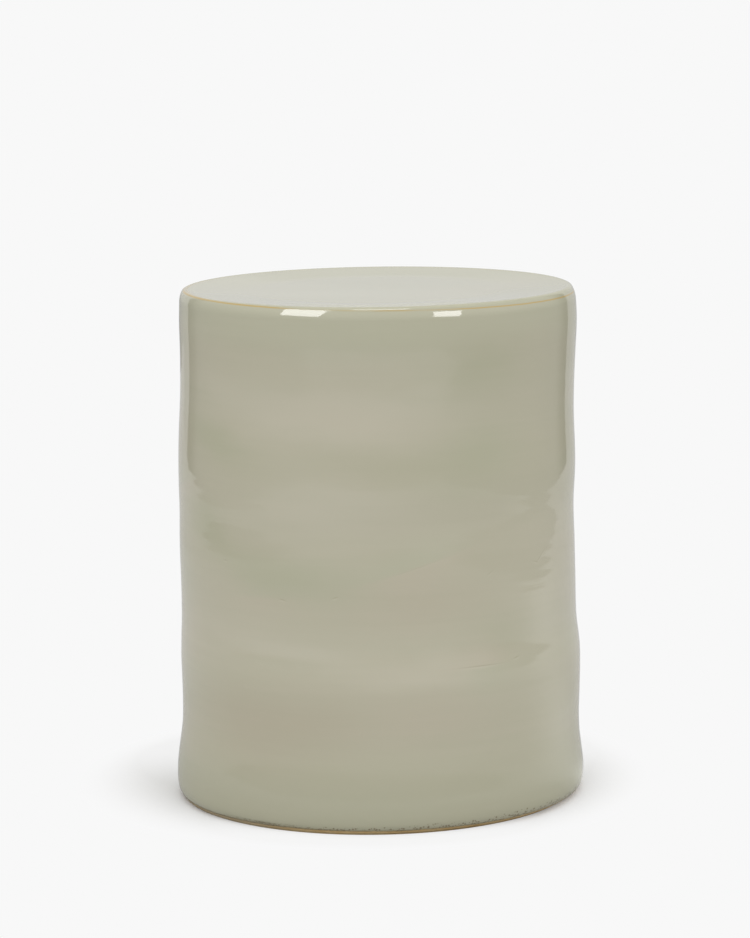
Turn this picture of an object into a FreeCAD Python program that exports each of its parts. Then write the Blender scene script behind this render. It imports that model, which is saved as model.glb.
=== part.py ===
"""A garden stool of thrown stoneware: a tall open-footed cylinder closed by a dished seat.

Millimetres, +Z up. The origin is on the floor, under the middle of the foot.
The wall is hand thrown, so its rings swell, shrink and wander a little off the axis.
The sizes are those of the finished outside, with its glaze.
"""

import FreeCAD
import Part
import math
import os

# Main sizes
stool_height = 460.0
foot_width = 370.0
wall_width = 357.0

# Clay
wall_thickness = 8.5
seat_thickness = 13.0
spigot_gap = 0.3
coil_size = 12.0
coil_edge = 1.0

# Foot, turned after throwing
lip_height = 3.5
lip_bevel = 4.3
belly_height = 6.5
belly_slope = 4.1
foot_ring_thickness = 8.5
foot_ring_height = 22.0
foot_inner_bevel = 2.5

# Seat
rim_height = 13.0
shoulder_round = 24.0
edge_drop = 1.8
edge_reach = 2.6
dish_depth = 3.5
dish_flat_width = 230.0

# Thrown rings, from the foot to the rim
# share of the wall's height, share of the kick at the foot, swell, wander to the right
throwing_rings = [
    (0.000, 0.87, 0.0, 0.0),
    (0.035, 0.97, 0.0, 0.0),
    (0.140, 0.25, 0.0, 0.8),
    (0.260, 0.00, 2.6, 1.4),
    (0.355, 0.00, 0.2, 0.4),
    (0.470, 0.00, 0.0, -0.2),
    (0.570, 0.00, -0.7, -0.4),
    (0.675, 0.00, 0.4, 0.3),
    (0.825, 0.00, -1.6, 1.5),
    (1.000, 0.00, -0.9, 3.0),
]
sway = 0.8
loft_degree = 2

# Sizes that follow
thrown_bottom = lip_height + belly_height
rim_level = stool_height - rim_height
kick = (foot_width - wall_width) / 2
ring_radii = [wall_width / 2 + ring[1] * kick + ring[2] for ring in throwing_rings]
belly_radius = ring_radii[0]
lip_radius = belly_radius - belly_slope
rim_radius = ring_radii[-1]
rim_centre = FreeCAD.Vector(throwing_rings[-1][3], 0, 0)
bore_radius = min(ring_radii + [lip_radius]) - wall_thickness
dish_floor = stool_height - dish_depth
seat_underside = dish_floor - seat_thickness


def at(radius, z):
    """A point in the plane that the turned pieces are drawn in."""
    return FreeCAD.Vector(radius, 0, z)


def outline(points):
    """The straight edges through the points in turn."""
    return [Part.LineSegment(a, b).toShape() for a, b in zip(points, points[1:])]


def turned(edges, axis_at=None):
    """A solid turned about a vertical axis from a closed outline."""
    profile = Part.Face(Part.Wire(edges))
    solid = profile.revolve(FreeCAD.Vector(0, 0, 0), FreeCAD.Vector(0, 0, 1), 360)
    if axis_at is not None:
        solid.translate(axis_at)
    return solid


def make_thrown_outside():
    """The solid inside the wall's outer rings."""
    wires = []
    for (share, _, _, wander), radius in zip(throwing_rings, ring_radii):
        z = thrown_bottom + share * (rim_level - thrown_bottom)
        centre = FreeCAD.Vector(wander, sway * math.sin(math.pi * share), z)
        circle = Part.Circle(centre, FreeCAD.Vector(0, 0, 1), radius)
        wires.append(Part.Wire(circle.toShape()))
    return Part.makeLoft(wires, True, False, False, loft_degree)


def make_bore():
    """The hollow inside the wall, ribbed smooth and leaning to the rim's centre."""
    foot_centre = FreeCAD.Vector(0, 0, 0)
    axis = rim_centre + FreeCAD.Vector(0, 0, stool_height)
    return Part.makeCylinder(bore_radius, axis.Length, foot_centre, axis)


def make_wall():
    """The thrown cylinder, turned in below its widest ring."""
    belly = turned(outline([
        at(0, lip_height),
        at(lip_radius, lip_height),
        at(belly_radius, thrown_bottom),
        at(0, thrown_bottom),
        at(0, lip_height),
    ]))
    return make_thrown_outside().fuse(belly).cut(make_bore())


def make_foot_ring(wall):
    """The bare ring luted inside the wall, with a bevelled lip under the wall's edge."""
    outer = lip_radius - lip_bevel
    inner = bore_radius - foot_ring_thickness
    oversize = turned(outline([
        at(inner + foot_inner_bevel, 0),
        at(outer, 0),
        at(lip_radius, lip_height),
        at(lip_radius, foot_ring_height),
        at(inner, foot_ring_height),
        at(inner, foot_inner_bevel),
        at(inner + foot_inner_bevel, 0),
    ]))
    return oversize.cut(wall)


def make_seat():
    """The slab that closes the top, with a spigot that drops into the wall."""
    spigot = bore_radius - spigot_gap
    shoulder_centre = rim_radius - shoulder_round
    shoulder_rise = rim_height - edge_drop
    half_turn = math.asin(shoulder_rise / shoulder_round) / 2
    shoulder_middle = at(
        shoulder_centre + shoulder_round * math.cos(half_turn),
        rim_level + shoulder_round * math.sin(half_turn),
    )
    shoulder_end = at(
        shoulder_centre + math.sqrt(shoulder_round ** 2 - shoulder_rise ** 2),
        stool_height - edge_drop,
    )
    rim = at(rim_radius, rim_level)
    under = outline([
        at(0, seat_underside),
        at(spigot, seat_underside),
        at(spigot, rim_level),
        rim,
    ])
    shoulder = Part.Arc(rim, shoulder_middle, shoulder_end).toShape()
    top = outline([
        shoulder_end,
        at(shoulder_end.x - edge_reach, stool_height),
        at(dish_flat_width / 2, dish_floor),
        at(0, dish_floor),
        at(0, seat_underside),
    ])
    return turned(under + [shoulder] + top, rim_centre)


def make_coil(wall):
    """The coil smeared into the corner between the wall and the seat."""
    inside_wall = bore_radius + wall_thickness / 2
    oversize = turned(outline([
        at(bore_radius - coil_size, seat_underside),
        at(bore_radius - coil_edge, seat_underside - coil_size),
        at(inside_wall, seat_underside - coil_size),
        at(inside_wall, seat_underside),
        at(bore_radius - coil_size, seat_underside),
    ]), rim_centre)
    return oversize.cut(wall)


wall = make_wall()
pieces = {
    "foot_ring": make_foot_ring(wall),
    "thrown_wall": wall,
    "seat_disc": make_seat(),
    "seam_coil": make_coil(wall),
}

os.makedirs("parts", exist_ok=True)
for name, shape in pieces.items():
    shape.exportStep("parts/" + name + ".step")
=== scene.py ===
"""A thrown stoneware garden stool under a celadon glaze, dressed over its frame.

Metres, +Z up, with the front facing -Y and the origin on the floor under the foot.
Sizes that are drawn or measured are in millimetres, and MM turns them into metres.
The glazed body and the bare foot are each turned from a drawn profile by a geometry tree,
which then leans, wipes and dents the wall a little. The seam coil under the seat stays the
frame's own solid, in the foot's bare clay.
"""

import math

import bpy
from mathutils import Matrix


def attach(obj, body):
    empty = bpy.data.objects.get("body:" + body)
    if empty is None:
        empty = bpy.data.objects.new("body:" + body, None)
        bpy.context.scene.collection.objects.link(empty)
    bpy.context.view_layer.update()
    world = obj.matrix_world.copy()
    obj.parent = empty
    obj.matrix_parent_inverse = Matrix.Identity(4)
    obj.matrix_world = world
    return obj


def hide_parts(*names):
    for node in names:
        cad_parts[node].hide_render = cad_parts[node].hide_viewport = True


MM = 0.001

# Camera, from the outline in the photograph
PICTURE_SIZE = (750, 938)
CAMERA_PLACE = (-1.4 * MM, -3300 * MM, 809 * MM)
CAMERA_PITCH = 8.87
CAMERA_ROLL = 0.8
FOCAL_PIXELS = 3702
SENSOR = 36.0

# Stool sizes in millimetres
STOOL_HEIGHT = 460
RIM_LEVEL = 447
RIM_RADIUS = 177.5
SHOULDER_ROUND = 24
EDGE_ROUND = 4.2
EDGE_CENTRE = (171.24, 455.8)
DISH_FLOOR = 456.5
DISH_FLAT_RADIUS = 115
SEAT_UNDERSIDE = 443.5
BORE_RADIUS = 168.4
FOOT_INSIDE = 159.9
FOOT_TOP = 22
LIP_LEVEL = 3.5

# Meshes: columns round each piece, rows along its profile, steps between its points, weld
BODY_COLUMNS, BODY_ROWS = 288, 330
FOOT_COLUMNS, FOOT_ROWS = 240, 120
PROFILE_STEPS = 16
WELD_DISTANCE = 0.02

# Points of the body's profile that count as its flare and as the edge of its dish
FLARE_RINGS = 6
DISH_EDGE_POINTS = 2

# Outer wall: height and radius of the rings left by the potter's hands
WALL_RINGS = [
    (4.6, 181.4), (6.4, 182.9), (9, 184.0), (13.5, 184.75), (20, 184.95), (29, 184.5),
    (40, 183.2), (55, 181.3), (70, 180.25), (85, 180.3), (100, 180.6), (115, 180.95),
    (130, 181.0), (145, 180.1), (160, 178.95), (177, 178.55), (195, 178.5), (230, 178.45),
    (265, 177.85), (282, 178.4), (300, 178.8), (317, 178.5), (335, 177.8), (352, 177.15),
    (370, 176.9), (388, 177.05), (405, 177.4), (418, 177.85), (430, 178.1), (439, 177.9),
]

# Centre of the rings, to the right of the axis, by height
WANDER = [
    (0, -3.6), (3, -2.1), (9, -0.3), (20, 0.0), (40, -0.1), (70, 0.85), (100, 1.5),
    (130, 1.4), (160, 0.45), (195, 0.2), (230, -0.35), (265, -0.45), (300, 0.3),
    (335, 0.5), (370, 1.5), (405, 2.6), (430, 3.05), (447, 2.95), (453, 2.7), (460, 2.4),
]
WANDER_SPAN = 5
RIM_CENTRE = 2.7
SWAY = 0.6
WALL_RADIUS = 179

# Wiped ledges: azimuth in degrees, height, half length, slope, and depth as a share
WIPES = [
    (280.6, 234.6, 40, 0.29, 1.0),
    (301.0, 144.0, 24, 0.06, -0.9),
    (236.0, 206.0, 30, 0.05, 0.5),
    (22, 250, 40, -0.3, 0.9),
    (58, 148, 46, 0.22, -0.8),
    (96, 305, 38, 0.3, 0.9),
    (131, 205, 44, -0.25, 1.0),
    (168, 118, 36, 0.3, -0.9),
    (194, 290, 32, 0.26, 0.8),
]

# Low swells and hollows between the rings: azimuth, height, half width, half height, depth
FULLNESS = [
    (325, 258, 48, 24, 1.0),
    (324, 195, 42, 36, 1.1),
    (324, 120, 42, 26, -0.7),
]

# Nicks left in the soft clay: azimuth, height, half length, slope, strength
NICKS = [
    (299.0, 144.6, 17, 0.0, 0.5),
    (311.6, 147.4, 3.5, 0.2, 0.45),
    (322.9, 231.6, 6, 0.75, 0.45),
    (320.5, 228.0, 3.5, -0.3, 0.35),
    (282.0, 235.6, 24, 0.29, 0.12),
    (257.9, 209.6, 2.2, 0.3, 0.5),
    (242.2, 205.3, 3.0, -0.2, 0.5),
    (303.0, 224.9, 2.6, 0.6, 0.35),
    (221.8, 234.0, 2.0, 0.0, 0.4),
    (17, 262, 8, -0.4, 0.5),
    (71, 152, 12, 0.1, 0.5),
    (118, 231, 5, 0.5, 0.4),
    (160, 118, 9, 0.0, 0.5),
    (190, 301, 3, -0.6, 0.4),
]

# Clouds in the glaze: azimuth, height, half width, half height, slope, lighter, pinker
CLOUDS = [
    (258, 366, 80, 19, 0.02, 1.0, 0.4),
    (299, 404, 46, 24, 0.0, -0.55, -0.5),
    (277, 322, 56, 17, 0.0, -0.25, -0.2),
    (222, 385, 46, 15, -0.12, 0.35, 0.1),
    (217, 339, 48, 15, -0.2, -0.5, -0.7),
    (299, 330, 40, 27, 0.0, -0.35, -0.6),
    (253, 288, 75, 17, 0.0, 0.45, 0.1),
    (214, 262, 30, 18, -0.3, -0.6, -0.5),
    (241, 226, 58, 17, -0.12, -0.45, -0.9),
    (282, 200, 52, 24, 0.15, -0.15, 0.5),
    (246, 160, 80, 11, -0.14, 0.55, 0.1),
    (284, 142, 60, 13, 0.0, 0.65, 0.3),
    (306, 168, 34, 20, 0.0, -0.3, -0.3),
    (236, 92, 70, 30, 0.0, -0.65, 0.55),
    (283, 106, 60, 20, 0.0, -0.1, 0.5),
    (272, 430, 110, 18, 0.0, -0.1, -0.5),
]

# Room: the white behind as it looks on screen, the paper, and the floor's edges in metres
BACKGROUND = (248, 248, 248)
FLOOR_COLOUR = (0.81, 0.81, 0.81, 1.0)
FLOOR_BOUNCE = (0.51, 0.51, 0.51, 1.0)
# Paper colour in a wedge to the right, seen only in reflections: a painted reflection
PAINTED_SIDE_REFLECTION = (0.85, 0.85, 0.85, 1.0)
FLOOR_EDGES = (-1.6, 1.42, -2.2, 3.0)

# Reflected room: bearings from straight behind at which the screen ends and the sides open
SCREEN_ENDS = (37.2, 38)
SIDES_OPEN = (43, 56)

# Softboxes: name, azimuth, elevation, distance, angle wide, angle high, radiance, tilt
SOFTBOXES = [
    ("softbox_left", -45.7, 29, 5.0, 23.4, 29, 7.2, 0.0),
    ("softbox_right", 41.2, 20, 5.0, 16, 21, 7.2, -10.0),
    ("softbox_top", 2, 62, 5.0, 24, 22, 4.0, 0.0),
]

# Suns: name, azimuth, elevation, level, softness as an angle, and whether they cast a shadow
SUNS = [
    ("key", 40, 50, 0.18, 60, True),
    ("fill_left", -58, 15, 0.10, 30, False),
    ("fill_right", 85, 12, 0.02, 30, False),
]


class Value:
    """One output of a node; arithmetic on it adds Math nodes to its tree."""

    def __init__(self, bench, socket):
        self.bench = bench
        self.socket = socket

    def sum_up(self, operation, *others):
        made = self.bench.add(self.bench.math_node, {"operation": operation})
        for place, item in enumerate(others):
            self.bench.feed(made.node.inputs[place], item)
        return made[0]

    def __add__(self, other):
        return self.sum_up("ADD", self, other)

    def __radd__(self, other):
        return self.sum_up("ADD", other, self)

    def __sub__(self, other):
        return self.sum_up("SUBTRACT", self, other)

    def __rsub__(self, other):
        return self.sum_up("SUBTRACT", other, self)

    def __mul__(self, other):
        return self.sum_up("MULTIPLY", self, other)

    def __rmul__(self, other):
        return self.sum_up("MULTIPLY", other, self)

    def __truediv__(self, other):
        return self.sum_up("DIVIDE", self, other)

    def __rtruediv__(self, other):
        return self.sum_up("DIVIDE", other, self)

    def __neg__(self):
        return self.sum_up("MULTIPLY", self, -1.0)

    def __abs__(self):
        return self.sum_up("ABSOLUTE", self)


class Made:
    """A node just added; its outputs are taken by name or by number."""

    def __init__(self, bench, node):
        self.bench = bench
        self.node = node

    def __getitem__(self, key):
        if isinstance(key, int):
            return Value(self.bench, self.node.outputs[key])
        return Value(self.bench, self.bench.find(self.node.outputs, key))


class Bench:
    """A node tree and the one way of adding nodes to it."""

    math_node = "ShaderNodeMath"

    def __init__(self, tree):
        self.tree = tree

    def find(self, sockets, key):
        for socket in sockets:
            if key == socket.identifier or (key == socket.name and socket.enabled):
                return socket
        raise KeyError(f"no socket {key!r}")

    def feed(self, socket, item):
        if isinstance(item, Made):
            item = item[0]
        if isinstance(item, Value):
            self.tree.links.new(item.socket, socket)
        else:
            socket.default_value = item

    def add(self, kind, settings=None, sockets=None):
        """A node of this type, with its settings first and then its sockets."""
        node = self.tree.nodes.new(kind)
        for key, item in (settings or {}).items():
            if key == "points":
                self.set_points(node.mapping, item, "AUTO")
            elif key == "corners":
                self.set_points(node.mapping, item, "VECTOR")
            else:
                setattr(node, key, item)
        for key, item in (sockets or {}).items():
            socket = node.inputs[key] if isinstance(key, int) else self.find(node.inputs, key)
            self.feed(socket, item)
        return Made(self, node)

    def set_points(self, mapping, points, bend):
        curve = mapping.curves[0]
        while len(curve.points) < len(points):
            curve.points.new(0.5, 0.5)
        for point, place in zip(curve.points, sorted(points)):
            point.location = place
            point.handle_type = bend
        mapping.update()

    def calc(self, operation, *items):
        made = self.add(self.math_node, {"operation": operation})
        for place, item in enumerate(items):
            self.feed(made.node.inputs[place], item)
        return made[0]

    def smooth(self, item, low, high):
        """0 below low and 1 above high, with an eased step between."""
        settings = {"interpolation_type": "SMOOTHSTEP"}
        return self.add("ShaderNodeMapRange", settings, {0: item, 1: low, 2: high})[0]

    def hill(self, item, middle, width):
        """1 at the middle and fading to nothing over the width, as a bell does."""
        share = (item - middle) / width
        return self.calc("EXPONENT", -(share * share))

    def parts_of(self, vector):
        made = self.add("ShaderNodeSeparateXYZ", None, {0: vector})
        return made[0], made[1], made[2]

    def vector(self, x, y, z):
        return self.add("ShaderNodeCombineXYZ", None, {0: x, 1: y, 2: z})[0]

    def noise(self, vector, scale, detail=2.0, rough=0.5, warp=0.0):
        """Cloudy noise about 0, from -1 to 1."""
        sockets = {"Vector": vector, "Scale": scale, "Detail": detail, "Roughness": rough, "Distortion": warp}
        return self.add("ShaderNodeTexNoise", None, sockets)[0] * 2.0 - 1.0

    def blend(self, share, first, second):
        """The first colour giving way to the second by the share."""
        settings = {"data_type": "RGBA"}
        sockets = {"Factor_Float": share, "A_Color": first, "B_Color": second}
        return self.add("ShaderNodeMix", settings, sockets)["Result_Color"]


def colour(red, green, blue):
    """A colour given as it looks on screen, from 0 to 255, as Blender's linear values."""
    shares = [part / 255 for part in (red, green, blue)]
    linear = [s / 12.92 if s <= 0.04045 else ((s + 0.055) / 1.055) ** 2.4 for s in shares]
    return (*linear, 1.0)


# Camera
def place_camera():
    camera = bpy.data.objects.new("camera", bpy.data.cameras.new("camera"))
    camera.data.sensor_width = SENSOR
    camera.data.lens = FOCAL_PIXELS / PICTURE_SIZE[1] * SENSOR
    turn = Matrix.Rotation(math.radians(90 - CAMERA_PITCH), 4, "X")
    roll = Matrix.Rotation(math.radians(-CAMERA_ROLL), 4, "Z")
    camera.matrix_world = Matrix.Translation(CAMERA_PLACE) @ turn @ roll
    camera.data.clip_end = 100
    bpy.context.scene.collection.objects.link(camera)
    bpy.context.scene.camera = camera


# Profiles
def draw_profile(name, corners):
    """A profile drawn in the XZ plane; a point is (radius, height, 'round' or 'sharp')."""
    curve = bpy.data.curves.new(name, "CURVE")
    curve.dimensions = "3D"
    spline = curve.splines.new("BEZIER")
    spline.resolution_u = PROFILE_STEPS
    spline.bezier_points.add(len(corners) - 1)
    for point, (radius, height, bend) in zip(spline.bezier_points, corners):
        point.co = (radius * MM, 0, height * MM)
        handle = "AUTO" if bend == "round" else "VECTOR"
        point.handle_left_type = handle
        point.handle_right_type = handle
    return bpy.data.objects.new(name, curve)


def arc_points(centre, radius, start, end, steps):
    """Round points along an arc, by angle in degrees from level."""
    points = []
    for step in range(steps + 1):
        angle = math.radians(start + (end - start) * step / steps)
        across = centre[0] + radius * math.cos(angle)
        points.append((across, centre[1] + radius * math.sin(angle), "round"))
    return points


def body_parts():
    """Inside, wall, shoulder, edge and dish: from under the seat round to its middle."""
    shoulder_centre = (RIM_RADIUS - SHOULDER_ROUND, RIM_LEVEL)
    rise = EDGE_CENTRE[1] - shoulder_centre[1]
    reach = EDGE_CENTRE[0] - shoulder_centre[0]
    meet = math.degrees(math.atan2(rise, reach))
    inside = [
        (0, SEAT_UNDERSIDE, "sharp"),
        (BORE_RADIUS, SEAT_UNDERSIDE, "sharp"),
        (BORE_RADIUS, LIP_LEVEL, "sharp"),
        (179.6, LIP_LEVEL, "sharp"),
        (180.5, 3.75, "round"),
    ]
    wall = [(radius, height, "round") for height, radius in WALL_RINGS]
    shoulder = arc_points(shoulder_centre, SHOULDER_ROUND, 0, meet - 4, 3)
    edge = arc_points(EDGE_CENTRE, EDGE_ROUND, meet + 6, 90, 5)
    dish = [
        (169.9, 459.88, "round"), (167.0, 459.56, "round"), (160, 459.1, "round"),
        (140, 457.9, "round"), (125, 457.0, "round"), (DISH_FLAT_RADIUS, DISH_FLOOR + 0.12, "round"),
        (100, DISH_FLOOR + 0.02, "round"), (80, DISH_FLOOR, "round"), (0, DISH_FLOOR, "sharp"),
    ]
    return [inside, wall, shoulder, edge, dish]


def length_shares(corners):
    """How far along the profile each corner is, as a share of its length."""
    runs = [math.dist(a[:2], b[:2]) for a, b in zip(corners, corners[1:])]
    total = sum(runs)
    shares, so_far = [0.0], 0.0
    for run in runs:
        so_far += run
        shares.append(so_far / total)
    return shares


def body_rows(parts):
    """Share of the rows against share of the length: rows are closest where the body curves."""
    shares = length_shares(sum(parts, []))
    inside, wall, shoulder, edge, _ = parts
    lip_end = len(inside) - 1
    flare_end = lip_end + FLARE_RINGS
    wall_end = lip_end + len(wall)
    shoulder_end = wall_end + len(shoulder)
    edge_end = shoulder_end + len(edge) + DISH_EDGE_POINTS
    return [
        (0.0, 0.0), (0.03, shares[1]), (0.07, shares[2]), (0.09, shares[lip_end]),
        (0.14, shares[flare_end]), (0.70, shares[wall_end]), (0.79, shares[shoulder_end]),
        (0.91, shares[edge_end]), (1.0, 1.0),
    ]


def foot_profile():
    """A ring turned with a bevelled lip, from its top round its inside to its outside."""
    return [
        (165, FOOT_TOP, "sharp"), (161.2, FOOT_TOP, "round"), (159.9, 20.6, "round"),
        (FOOT_INSIDE, 12, "round"), (159.9, 3.2, "round"), (160.8, 0.9, "round"),
        (163.0, 0.0, "sharp"), (168, 0, "sharp"), (174.8, 0, "sharp"), (175.9, 0.35, "round"),
        (177.6, 1.7, "round"), (179.45, 3.3, "round"), (179.3, LIP_LEVEL + 0.3, "sharp"),
        (168.6, LIP_LEVEL + 0.3, "sharp"), (168.6, FOOT_TOP, "sharp"), (165, FOOT_TOP, "sharp"),
    ]


# Wheel
def wheel_inputs(tree, bench):
    """Named inputs of the tree, with their usual values."""
    wanted = [
        ("Profile", "NodeSocketObject", None),
        ("Columns", "NodeSocketInt", BODY_COLUMNS),
        ("Rows", "NodeSocketInt", BODY_ROWS),
        ("Unevenness", "NodeSocketFloat", 0.32 * MM),
        ("Ring Depth", "NodeSocketFloat", 0.03 * MM),
        ("Ring Pitch", "NodeSocketFloat", 11 * MM),
        ("Wipe Depth", "NodeSocketFloat", 0.11 * MM),
    ]
    for name, kind, default in wanted:
        socket = tree.interface.new_socket(name, in_out="INPUT", socket_type=kind)
        if default is not None:
            socket.default_value = default
    tree.interface.new_socket("Pot", in_out="OUTPUT", socket_type="NodeSocketGeometry")
    return bench.add("NodeGroupInput")


def turned_profile(bench, given, row_points):
    """A grid of columns round the pot and rows along the profile, and where its points go."""
    sockets = {"Vertices X": given["Columns"] + 1, "Vertices Y": given["Rows"]}
    grid = bench.add("GeometryNodeMeshGrid", None, sockets)["Mesh"]
    index = bench.add("GeometryNodeInputIndex")[0]
    column = bench.calc("FLOOR", (index + 0.5) / given["Rows"])
    row = index - column * given["Rows"]
    turn = column / given["Columns"] * (2 * math.pi)
    share = row / (given["Rows"] - 1)
    along = bench.add("ShaderNodeFloatCurve", {"corners": row_points}, {"Value": share})[0]
    profile = bench.add("GeometryNodeObjectInfo", None, {"Object": given["Profile"]})["Geometry"]
    sockets = {"Curves": profile, "Factor": along}
    point = bench.add("GeometryNodeSampleCurve", {"use_all_curves": False}, sockets)["Position"]
    radius, _, height = bench.parts_of(point)
    return grid, turn, radius, height


def lean_of_rings(bench, height):
    """How far the centre of each ring lies to the right of the axis."""
    spots = [(level / STOOL_HEIGHT, 0.5 + 0.5 * off / WANDER_SPAN) for level, off in WANDER]
    share = height / (STOOL_HEIGHT * MM)
    curve = bench.add("ShaderNodeFloatCurve", {"points": spots}, {"Value": share})
    return (curve[0] * 2.0 - 1.0) * (WANDER_SPAN * MM)


def slow_swells(bench, given, cosine, sine, height):
    """Swells that are longer round the pot than up it, and that leave the outline as drawn."""
    spread = bench.vector(cosine * 0.62, sine * 0.62, height * 15.0 + cosine * 0.12)
    sides = cosine * cosine
    front_and_back = 1.0 - sides * sides * sides
    return bench.noise(spread, 1.0, 1.0, 0.4, 0.25) * given["Unevenness"] * 1.6 * front_and_back


def spiral_rings(bench, given, turn, cosine, sine, height):
    """Rings that climb as the wheel turns, deeper in some places than in others."""
    spiral = bench.calc("SINE", height / given["Ring Pitch"] * (2 * math.pi) + turn)
    gather = bench.smooth(bench.noise(bench.vector(cosine, sine, height * 22.0), 1.2), -0.5, 0.6)
    return spiral * gather * given["Ring Depth"]


def wiped_ledges(bench, turn, height):
    """Ledges where a hand steadied the pot, and the clay that it wiped along them."""
    ledges, wiped = 0.0, 0.0
    for azimuth, level, length, slope, deep in WIPES:
        across = round_the_pot(bench, turn, azimuth)
        line = height - level * MM - across * slope
        reach = bench.hill(across, 0.0, length * MM)
        above = bench.smooth(line, -0.0022, 0.0022)
        ledges = above * bench.hill(line, 0.002, 0.016) * reach * deep + ledges
        wiped = (0.5 - above) * bench.hill(line, 0.0, 0.02) * reach * deep + wiped
    return ledges, wiped


def swells_between_rings(bench, turn, height):
    fuller = 0.0
    for azimuth, level, wide, high, deep in FULLNESS:
        across = round_the_pot(bench, turn, azimuth)
        patch = bench.hill(across, 0.0, wide * MM) * bench.hill(height, level * MM, high * MM)
        fuller = patch * (deep * MM) + fuller
    return fuller


def throwing_tree(material, row_points):
    """The wheel: turns a profile and gives it the unevenness of a hand-thrown pot."""
    tree = bpy.data.node_groups.new("throw_on_wheel", "GeometryNodeTree")
    bench = Bench(tree)
    given = wheel_inputs(tree, bench)
    grid, turn, radius, height = turned_profile(bench, given, row_points)
    cosine = bench.calc("COSINE", turn)
    sine = bench.calc("SINE", turn)

    # Marks of the hands, on the outside and away from the foot and the rim
    outside = bench.smooth(radius, 0.1705, 0.1712)
    above_foot = bench.smooth(height, 0.012, 0.05)
    below_rim = 1.0 - bench.smooth(height, 0.425, 0.447)
    swell = slow_swells(bench, given, cosine, sine, height)
    rings = spiral_rings(bench, given, turn, cosine, sine, height)
    ledges, wiped = wiped_ledges(bench, turn, height)
    fuller = swells_between_rings(bench, turn, height)
    marks = (swell + rings + ledges * given["Wipe Depth"] + fuller) * (outside * above_foot * below_rim)

    # Places of the points
    thrown = radius + marks
    lean = lean_of_rings(bench, height)
    sway = bench.calc("SINE", height / (STOOL_HEIGHT * MM) * math.pi) * (SWAY * MM)
    place = bench.vector(thrown * cosine + lean, thrown * sine + sway, height)
    pot = bench.add("GeometryNodeSetPosition", None, {"Geometry": grid, "Position": place})["Geometry"]

    # Shares that the glaze reads
    wobble = bench.noise(bench.vector(cosine * 2.2, sine * 2.2, height * 22.0), 1.0, 2.0, 0.5)
    lighter, pinker = cloud_shares(bench, turn, height, wobble)
    stored = {
        "glazed": outside_of_pot(bench, radius, height),
        # The lighter share also rises with the wall's marks: painted light on its swells, rings and ledges,
        # and painted shade in its hollows
        "lighter": lighter + marks / MM * 0.25,
        "pinker": pinker + wiped * 1.4,
    }
    settings = {"data_type": "FLOAT", "domain": "POINT"}
    for name, share in stored.items():
        sockets = {"Geometry": pot, "Name": name, "Value": share}
        pot = bench.add("GeometryNodeStoreNamedAttribute", settings, sockets)["Geometry"]

    # One smooth, closed mesh in its finish
    sockets = {"Geometry": pot, "Distance": WELD_DISTANCE * MM}
    pot = bench.add("GeometryNodeMergeByDistance", None, sockets)["Geometry"]
    pot = bench.add("GeometryNodeSetShadeSmooth", None, {"Geometry": pot})["Geometry"]
    pot = bench.add("GeometryNodeRealizeInstances", None, {"Geometry": pot})["Geometry"]
    sockets = {"Geometry": pot, "Material": material}
    pot = bench.add("GeometryNodeSetMaterial", None, sockets)["Geometry"]
    bench.add("NodeGroupOutput", None, {0: pot})
    return tree


def round_the_pot(bench, turn, azimuth):
    """Metres along the wall from this azimuth, the short way round."""
    off = bench.calc("WRAP", turn - math.radians(azimuth), math.pi, -math.pi)
    return off * (WALL_RADIUS * MM)


def cloud_shares(bench, turn, height, wobble):
    """How much lighter and how much pinker the glaze is than its middle colour."""
    lighter, pinker = 0.0, 0.0
    for azimuth, level, wide, high, slope, light, pink in CLOUDS:
        across = round_the_pot(bench, turn, azimuth)
        across_share = (across + wobble * 0.03) / (wide * MM)
        rise = height + wobble * 0.012 - level * MM - across * slope
        rise_share = rise / (high * MM)
        spread = across_share * across_share + rise_share * rise_share
        weight = bench.calc("EXPONENT", -spread)
        lighter = weight * light + lighter
        pinker = weight * pink + pinker
    return lighter, pinker


def outside_of_pot(bench, radius, height):
    """1 where the pot is dipped: its outside and its seat, not its bore or its underside."""
    wall = bench.smooth(radius, 0.1700, 0.1760) * bench.smooth(height, 0.0030, 0.0034)
    seat = bench.smooth(height, 0.4500, 0.4520)
    return bench.calc("MAXIMUM", wall, seat)


def throw(name, profile, tree, columns, rows, marks=1.0):
    """The pot as a plain mesh, with its faces turned outwards."""
    blank = bpy.data.objects.new(name, bpy.data.meshes.new(name))
    bpy.context.scene.collection.objects.link(blank)
    bpy.context.scene.collection.objects.link(profile)
    wheel = blank.modifiers.new("wheel", "NODES")
    wheel.node_group = tree
    sockets = {item.name: item.identifier for item in tree.interface.items_tree if item.in_out == "INPUT"}
    wheel[sockets["Profile"]] = profile
    wheel[sockets["Columns"]] = columns
    wheel[sockets["Rows"]] = rows
    for key in ("Unevenness", "Ring Depth", "Wipe Depth"):
        wheel[sockets[key]] = wheel[sockets[key]] * marks
    graph = bpy.context.evaluated_depsgraph_get()
    mesh = bpy.data.meshes.new_from_object(blank.evaluated_get(graph), depsgraph=graph)
    blank.modifiers.clear()
    blank.data = mesh
    mesh.name = name
    face_outwards(mesh)
    bpy.data.objects.remove(profile)
    return blank


def face_outwards(mesh):
    """Flips every face if the closed shell encloses a negative volume."""
    volume = 0.0
    for face in mesh.polygons:
        corners = [mesh.vertices[i].co for i in face.vertices]
        for second, third in zip(corners[1:], corners[2:]):
            volume += corners[0].dot(second.cross(third))
    if volume < 0:
        mesh.flip_normals()


# Finishes
def finish_material(name):
    material = bpy.data.materials.new(name)
    material.use_nodes = True
    material.node_tree.nodes.clear()
    return material, Bench(material.node_tree)


def close_material(bench, sockets):
    surface = bench.add("ShaderNodeBsdfPrincipled", None, sockets)
    bench.add("ShaderNodeOutputMaterial", None, {"Surface": surface[0]})


def bump(bench, height, distance):
    return bench.add("ShaderNodeBump", None, {"Height": height, "Distance": distance})["Normal"]


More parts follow.
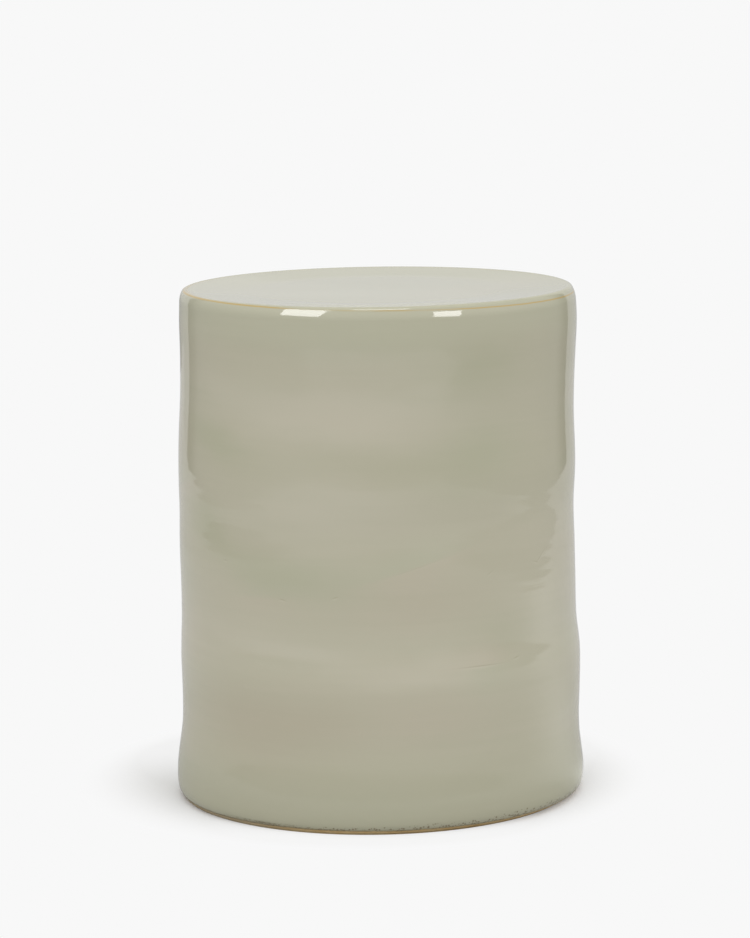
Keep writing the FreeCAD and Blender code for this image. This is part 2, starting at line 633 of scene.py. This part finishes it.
def clay_colour(bench, place):
    """Toasted stoneware: warm brown, mottled, with iron specks, and greyer at its left, which is painted
    shade.
    """
    clouds = bench.noise(place, 60.0, 4.0, 0.6)
    grain = bench.noise(place, 900.0, 3.0, 0.7)
    toasted, pale = colour(206, 174, 118), colour(222, 198, 150)
    iron, painted_shade_grey = colour(160, 124, 74), colour(150, 144, 128)
    tone = bench.blend(bench.smooth(clouds, -0.5, 0.6), toasted, pale)
    tone = bench.blend(bench.smooth(grain, 0.1, 0.6) * 0.3, tone, iron)
    x = bench.parts_of(place)[0]
    # Greyer towards the left: painted shade on the left side of the clay
    tone = bench.blend(bench.smooth(-x, 0.03, 0.15) * 0.6, tone, painted_shade_grey)
    return tone, grain


def bare_stoneware():
    """Unglazed clay with the fine lines of the turning tool."""
    material, bench = finish_material("bare_stoneware")
    place = bench.add("ShaderNodeTexCoord")["Object"]
    tone, grain = clay_colour(bench, place)
    _, _, height = bench.parts_of(place)
    turned = bench.calc("SINE", height * 5200.0)
    relief = grain * 0.6 + turned * 0.25
    close_material(bench, {
        "Base Color": tone,
        "Roughness": 0.82 + grain * 0.08,
        "Normal": bump(bench, relief, 0.00012),
    })
    return material


def glaze_clouds(bench, x, y, height, streaks):
    """Long soft clouds round the pot, tipped a little, and fainter where CLOUDS draws them, with painted
    shade darkening the wall towards the foot.
    """
    low = height * 1000.0
    lighter = bench.add("ShaderNodeAttribute", {"attribute_name": "lighter"})["Fac"]
    pinker = bench.add("ShaderNodeAttribute", {"attribute_name": "pinker"})["Fac"]
    drawn = bench.smooth(-y, 0.02, 0.10)
    tipped = bench.vector(x * 3.0, y * 3.0, (height + x * 0.10) * 13.0)
    clouds = bench.noise(tipped, 1.0, 3.0, 0.45, 0.5)
    blush = bench.noise(bench.vector(x * 4.0, y * 4.0, height * 16.0 + 5.0), 1.0, 2.0, 0.5, 0.4)
    freedom = 1.7 - drawn * 1.3
    # Painted shade: the wall's colour darkens towards the foot
    painted_low_shade = (1.0 - bench.smooth(low, 10.0, 95.0)) * 0.95
    seat = bench.smooth(low, 415.0, 450.0)
    light = bench.smooth(lighter + clouds * freedom + streaks * 0.15 - painted_low_shade, -1.0, 1.0)
    pink = bench.smooth(pinker + blush * freedom + streaks * 0.14 - painted_low_shade * 0.5 - seat * 0.7, -1.0, 1.0)
    deep_green, deep_pink = colour(180, 179, 154), colour(185, 178, 157)
    pale_green, pale_pink = colour(193, 191, 171), colour(198, 192, 173)
    deep = bench.blend(pink, deep_green, deep_pink)
    pale = bench.blend(pink, pale_green, pale_pink)
    # Painted shade in a band just above the foot
    painted_shade_above_foot = bench.hill(low, 34.0, 26.0) * 0.25
    return bench.blend(painted_shade_above_foot, bench.blend(light, deep, pale), colour(166, 165, 148))


def glaze_nicks(bench, glaze, x, y, low, streaks):
    """Nicks, where the glaze lies thin on one side and pools on the other."""
    turn = bench.calc("ARCTAN2", y, x)
    thinned, filled = 0.0, 0.0
    for azimuth, level, length, slope, strong in NICKS:
        across = round_the_pot(bench, turn, azimuth) * 1000.0
        line = low - level - across * slope - streaks * 0.8
        reach = bench.hill(across, 0.0, length) * strong
        thinned = bench.hill(line, 0.0, 0.55) * reach + thinned
        filled = bench.hill(line, -1.3, 0.8) * reach + filled
    thin_glaze, thick_glaze = colour(158, 150, 122), colour(206, 202, 186)
    glaze = bench.blend(thinned * 0.8, glaze, thin_glaze)
    return bench.blend(filled * 0.6, glaze, thick_glaze)


def glaze_break(bench, x, y, low, ripple):
    """How far the glaze breaks to ochre along the edge of the seat."""
    off_centre = x - RIM_CENTRE * MM
    reach = bench.calc("SQRT", off_centre * off_centre + y * y)
    strength = bench.noise(bench.vector(x * 14.0, y * 14.0, 3.0), 1.0, 2.0, 0.5)
    drift = 457.2 - x * 13.5
    line = bench.hill(low + ripple * 0.3, drift, 0.55) * bench.smooth(reach, 0.1685, 0.1705)
    sides = bench.smooth(abs(x), 0.03, 0.13)
    broken = bench.smooth(strength * 1.7 + ripple * 0.5 + sides, -0.5, 1.0) * 0.78 + 0.1
    return line * broken


def glaze_edge(bench, glaze, place, low, ripple):
    """Glaze edge above the foot: crawled, with a dark roll of glaze, pinholed, and smeared at its left; the
    roll is darker towards the left, which is painted shade.
    """
    x, y, _ = bench.parts_of(place)
    glazed = bench.add("ShaderNodeAttribute", {"attribute_name": "glazed"})["Fac"]
    crawl = bench.noise(bench.vector(x * 30.0, y * 30.0, 0.0), 1.0, 4.0, 0.65)
    fine = bench.noise(place, 700.0, 3.0, 0.6)
    edge = low - 4.8 - x * 2.0 - crawl * 0.8 - fine * 0.5
    coat = bench.smooth(edge, -0.2, 0.2) * glazed
    thin = 1.0 - bench.smooth(edge, 0.0, 1.8)
    # Dark roll of glaze along the edge, stronger towards the left: partly the glaze's own roll and partly
    # painted shade
    rolled_and_left_shade = bench.hill(edge, 0.35, 0.55) * (0.35 - x * 2.0)

    # Pinholes, higher up the wall at the right
    cell = bench.add("ShaderNodeTexVoronoi", {"feature": "F1"}, {"Vector": place, "Scale": 430.0})
    chance = bench.parts_of(cell["Color"])[0]
    reach_up = bench.noise(bench.vector(x * 16.0, y * 16.0, 7.0), 1.0, 2.0, 0.5)
    highest = bench.calc("MAXIMUM", 5.0 + reach_up * 4.0 + x * 22.0, 1.5)
    near_foot = 1.0 - bench.smooth(edge, 0.3, highest)
    spots = 1.0 - bench.smooth(cell["Distance"], 0.25, 0.5)
    pins = spots * bench.smooth(near_foot - chance * 0.7, 0.0, 0.2) * glazed

    # Smear of slip
    smear = bench.hill(x, -0.105, 0.026) * bench.hill(edge + ripple * 0.5, 2.0, 1.1)
    smear = smear * bench.smooth(-y, 0.0, 0.05) * bench.smooth(fine + ripple * 0.4, -0.35, 0.25)

    thin_glaze, rolled_and_shaded_glaze = colour(170, 150, 104), colour(112, 96, 62)
    iron, slip = colour(106, 90, 60), colour(104, 92, 62)
    glaze = bench.blend(thin * 0.25, glaze, thin_glaze)
    glaze = bench.blend(rolled_and_left_shade, glaze, rolled_and_shaded_glaze)
    glaze = bench.blend(pins * 0.8, glaze, iron)
    return bench.blend(smear * 0.9, glaze, slip), coat, thin, pins


def celadon_glaze():
    """Glossy glaze over the clay, which shows where the coat ends."""
    material, bench = finish_material("celadon_glaze")
    place = bench.add("ShaderNodeTexCoord")["Object"]
    x, y, height = bench.parts_of(place)
    low = height * 1000.0
    streaks = bench.noise(bench.vector(x * 9.0, y * 9.0, height * 140.0), 1.0, 3.0, 0.6, 0.3)
    ripple = bench.noise(bench.vector(x * 55.0, y * 55.0, 0.0), 1.0, 3.0, 0.6)
    glaze = glaze_clouds(bench, x, y, height, streaks)
    glaze = glaze_nicks(bench, glaze, x, y, low, streaks)
    ochre = glaze_break(bench, x, y, low, ripple)
    glaze = bench.blend(ochre, glaze, colour(192, 162, 98))
    glaze, coat, thin, pins = glaze_edge(bench, glaze, place, low, ripple)
    clay, grain = clay_colour(bench, place)

    rough = (1.0 - coat) * (0.82 + grain * 0.06) + coat * (0.045 + thin * 0.2 + ochre * 0.06 + pins * 0.3)
    peel = bench.noise(place, 260.0, 2.0, 0.5)
    wheel_lines = bench.noise(bench.vector(x * 4.0, y * 4.0, height * 420.0), 1.0, 2.0, 0.5)
    wall = 1.0 - bench.smooth(low, 415.0, 450.0)
    film = (peel * 0.04 + wheel_lines * 0.04) * wall + grain * 0.3 * (1.0 - coat) + coat * 1.5 - pins * 0.6
    close_material(bench, {
        "Base Color": bench.blend(coat, clay, glaze),
        "Roughness": rough,
        "Normal": bump(bench, film, 0.00018),
    })
    return material


# Room
def floor_material():
    """Pale paper that keeps the stool's shadow close to it and is white further off; to reflected rays it is
    lighter in a wedge to the right, which is a painted reflection.
    """
    material, bench = finish_material("pale_paper")
    place = bench.add("ShaderNodeTexCoord")["Object"]
    x, y, _ = bench.parts_of(place)
    path = bench.add("ShaderNodeLightPath")
    seen = path["Is Camera Ray"]
    # Painted reflection: the paper is lighter to the right for reflected rays only
    reflection_wedge = bench.hill(bench.calc("ARCTAN2", x, y), math.radians(82), math.radians(16))
    bounce = bench.blend(reflection_wedge * path["Is Glossy Ray"], FLOOR_BOUNCE, PAINTED_SIDE_REFLECTION)
    shade = bench.blend(seen, bounce, FLOOR_COLOUR)
    paper = bench.add("ShaderNodeBsdfDiffuse", None, {"Color": shade})
    white = bench.add("ShaderNodeEmission", None, {"Color": colour(*BACKGROUND), "Strength": 1.0})

    # White far from the foot, and partly white behind it and in front of it
    behind = y - 0.05
    aside = bench.calc("MINIMUM", x, 0.0) + bench.calc("MAXIMUM", x, 0.0) * 1.12
    away = bench.calc("SQRT", aside * aside + behind * behind)
    lit = bench.smooth(y, 0.0, 0.16) * 0.7 + bench.smooth(-y, 0.06, 0.18) * 0.85
    far = bench.calc("MAXIMUM", bench.smooth(away, 0.19, 0.28), lit)
    mixed = bench.add("ShaderNodeMixShader", None, {0: far * seen, 1: paper, 2: white})
    bench.add("ShaderNodeOutputMaterial", None, {"Surface": mixed[0]})
    return material


def lay_floor():
    mesh = bpy.data.meshes.new("floor")
    west, east, south, north = FLOOR_EDGES
    corners = [(west, south, 0), (east, south, 0), (east, north, 0), (west, north, 0)]
    mesh.from_pydata(corners, [], [(0, 1, 2, 3)])
    mesh.materials.append(floor_material())
    floor = bpy.data.objects.new("floor", mesh)
    bpy.context.scene.collection.objects.link(floor)


def studio_level(bench, direction):
    """What the glaze reflects: a tall screen behind, a dark gap each side, then an open side."""
    x, y, up = bench.parts_of(direction)
    bearing = bench.calc("ARCTAN2", x, y)
    aside = abs(bearing)
    low_down = 1.0 - bench.smooth(up, 0.45, 0.75)
    screen_start, screen_end = map(math.radians, SCREEN_ENDS)
    screen = (1.0 - bench.smooth(aside, screen_start, screen_end)) * low_down
    dim_left = bench.hill(bearing, math.radians(-12), math.radians(17)) * (1.0 - bench.smooth(up, -0.08, 0.0))
    screen_level = 0.60 + up * 0.35 - bench.smooth(up, 0.10, 0.45) * 0.26 - dim_left * 0.2
    side_start, side_end = map(math.radians, SIDES_OPEN)
    open_side = bench.smooth(aside, side_start, side_end) * low_down
    return 0.06 + screen * screen_level + open_side * (0.24 + bench.smooth(up, 0.0, 0.4) * 0.3)


def glow(bench, tone, level):
    return bench.add("ShaderNodeBackground", None, {"Color": tone, "Strength": level})


def light_room():
    """White for the camera, the studio in reflections, and soft fill from all round."""
    world = bpy.data.worlds.new("studio")
    bpy.context.scene.world = world
    world.use_nodes = True
    world.node_tree.nodes.clear()
    bench = Bench(world.node_tree)
    direction = bench.add("ShaderNodeTexCoord")["Generated"]
    up = bench.parts_of(direction)[2]
    white = colour(*BACKGROUND)
    fill_light = glow(bench, (1, 1, 1, 1), 0.55 + bench.smooth(up, 0.0, 1.0) * 0.70)
    studio = glow(bench, white, studio_level(bench, direction))
    backdrop = glow(bench, white, 1.0)
    path = bench.add("ShaderNodeLightPath")
    seen = bench.add("ShaderNodeMixShader", None, {0: path["Is Camera Ray"], 1: studio, 2: backdrop})
    straight = bench.calc("MAXIMUM", path["Is Camera Ray"], path["Is Glossy Ray"])
    mixed = bench.add("ShaderNodeMixShader", None, {0: straight, 1: fill_light, 2: seen})
    bench.add("ShaderNodeOutputWorld", None, {"Surface": mixed[0]})


def hang_softbox(name, azimuth, elevation, distance, wide, high, radiance, tilt):
    """A lit rectangle that faces the rim; azimuth is to the right of the camera side."""
    lamp = bpy.data.lights.new(name, "AREA")
    lamp.shape = "RECTANGLE"
    lamp.size = 2 * distance * math.tan(math.radians(wide / 2))
    lamp.size_y = 2 * distance * math.tan(math.radians(high / 2))
    lamp.energy = 4 * radiance * lamp.size * lamp.size_y
    holder = bpy.data.objects.new(name, lamp)
    holder.visible_camera = False
    holder.visible_diffuse = False
    turn = Matrix.Rotation(math.radians(azimuth), 4, "Z")
    lift = Matrix.Rotation(math.radians(90 - elevation), 4, "X")
    twist = Matrix.Rotation(math.radians(tilt), 4, "Z")
    rim = Matrix.Translation((0, 0, STOOL_HEIGHT * MM))
    holder.matrix_world = rim @ turn @ lift @ Matrix.Translation((0, 0, distance)) @ twist
    bpy.context.scene.collection.objects.link(holder)


def hang_sun(name, azimuth, elevation, level, softness, shadow):
    """Even light from one side; its level is what it adds to a surface that faces it."""
    lamp = bpy.data.lights.new(name, "SUN")
    lamp.energy = level * math.pi
    lamp.angle = math.radians(softness)
    lamp.use_shadow = shadow
    holder = bpy.data.objects.new(name, lamp)
    holder.visible_glossy = False
    turn = Matrix.Rotation(math.radians(azimuth), 4, "Z")
    lift = Matrix.Rotation(math.radians(90 - elevation), 4, "X")
    holder.matrix_world = turn @ lift
    bpy.context.scene.collection.objects.link(holder)


# Pieces
def make_glazed_body(glaze):
    parts = body_parts()
    tree = throwing_tree(glaze, body_rows(parts))
    profile = draw_profile("body_profile", sum(parts, []))
    body = throw("glazed_body", profile, tree, BODY_COLUMNS, BODY_ROWS)
    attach(body, "root")
    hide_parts("thrown_wall", "seat_disc")


def make_bare_foot(clay):
    tree = throwing_tree(clay, [(0, 0), (1, 1)])
    profile = draw_profile("foot_profile", foot_profile())
    foot = throw("bare_foot", profile, tree, FOOT_COLUMNS, FOOT_ROWS, 0.0)
    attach(foot, "root")
    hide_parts("foot_ring")


def finish_seam_coil(nodes, clay):
    """The one solid of the frame that is left showing takes the bare clay."""
    for node in nodes:
        if not node.hide_render:
            for place in node.material_slots:
                place.material = clay


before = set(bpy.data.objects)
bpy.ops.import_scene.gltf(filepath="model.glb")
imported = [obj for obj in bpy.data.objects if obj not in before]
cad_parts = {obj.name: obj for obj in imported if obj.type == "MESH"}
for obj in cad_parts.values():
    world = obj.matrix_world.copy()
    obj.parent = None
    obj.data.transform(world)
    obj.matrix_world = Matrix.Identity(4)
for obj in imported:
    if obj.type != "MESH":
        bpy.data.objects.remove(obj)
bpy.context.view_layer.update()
place_camera()

bpy.context.scene.view_settings.view_transform = "Standard"
light_room()
for softbox in SOFTBOXES:
    hang_softbox(*softbox)
for sun in SUNS:
    hang_sun(*sun)
lay_floor()

glaze = celadon_glaze()
clay = bare_stoneware()
make_glazed_body(glaze)
make_bare_foot(clay)
finish_seam_coil(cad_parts.values(), clay)
